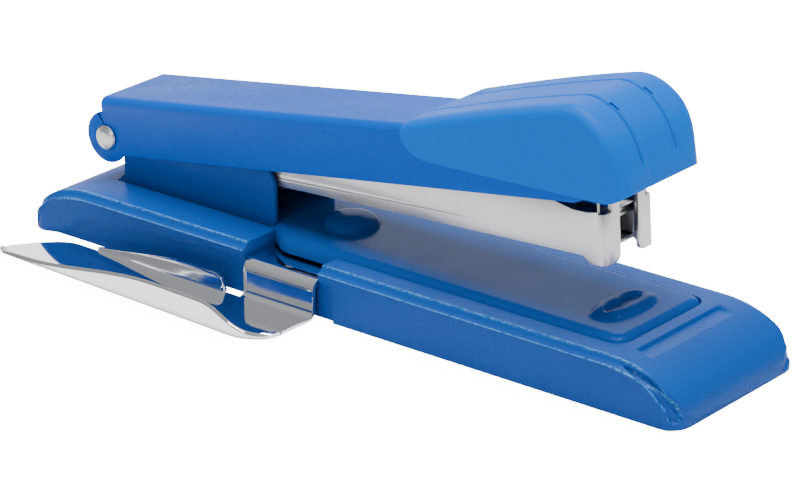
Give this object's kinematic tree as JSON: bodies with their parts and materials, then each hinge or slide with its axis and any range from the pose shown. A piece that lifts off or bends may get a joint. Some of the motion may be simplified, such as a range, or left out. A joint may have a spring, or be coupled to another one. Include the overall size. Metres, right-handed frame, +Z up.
{
  "type": "desk stapler",
  "caption": "Desk stapler with a steel arm and magazine hinged over an anvil plate set in a moulded base, and a sheet-metal staple remover clipped to one side.",
  "frame": {"origin": "middle of the foot pad's flat underside, on the table, halfway along and across the moulded base", "axes": "+X along the base towards the nose, +Z up, the staple remover on the -Y side"},
  "size_m": [0.1652, 0.0581, 0.055],
  "materials": {
    "shell_plastic": "fine leather grain",
    "frame_paint": "gloss",
    "arm_paint": "gloss",
    "cap_plastic": "satin",
    "chrome": "polished",
    "plated_steel": "satin",
    "spring_steel": "satin",
    "staple_wire": "bright",
    "rubber": "matt",
    "black_plastic": "matt"
  },
  "bodies": {
    "base": {"base_shell": "shell_plastic", "base_frame": "frame_paint", "foot_pad": "rubber", "frame_screw_front": "plated_steel", "frame_screw_rear": "plated_steel", "lift_spring": "spring_steel", "lift_spring_rivet": "plated_steel", "pivot_rivet": "plated_steel", "staple_remover": "chrome"},
    "magazine": {"magazine_channel": "plated_steel", "staple_rail": "plated_steel", "staple_strip": "staple_wire", "pivot_sleeve": "plated_steel", "spring_anchor": "plated_steel", "guide_rod": "spring_steel", "follower_spring": "spring_steel"},
    "follower": {"follower": "black_plastic"},
    "arm": {"arm_channel": "arm_paint", "cap": "cap_plastic", "driver_blade": "spring_steel", "driver_rivet_left": "plated_steel", "driver_rivet_right": "plated_steel", "return_spring": "spring_steel", "spring_rivet_left": "plated_steel", "spring_rivet_right": "plated_steel"}
  },
  "joints": [
    {"name": "magazine_pivot", "type": "hinge", "parent": "base", "child": "magazine", "pos_m": [-0.069, 0, 0.0206], "axis": [0, -1, 0], "range_deg": [-4.3, 122], "stiffness_Nm_per_rad": 0.6, "springref_deg": 6.02, "deforming": ["lift_spring"]},
    {"name": "arm_pivot", "type": "hinge", "parent": "magazine", "child": "arm", "pos_m": [-0.069, 0, 0.0206], "axis": [0, -1, 0], "range_deg": [-5.4, 50], "stiffness_Nm_per_rad": 0.4, "springref_deg": 4.24, "deforming": ["return_spring"]},
    {"name": "follower_slide", "type": "slide", "parent": "magazine", "child": "follower", "axis": [-0.9984, 0, -0.0558], "range_m": [0, 0.034], "stiffness_N_per_m": 25, "springref_m": -0.03, "deforming": ["follower_spring"]}
  ]
}
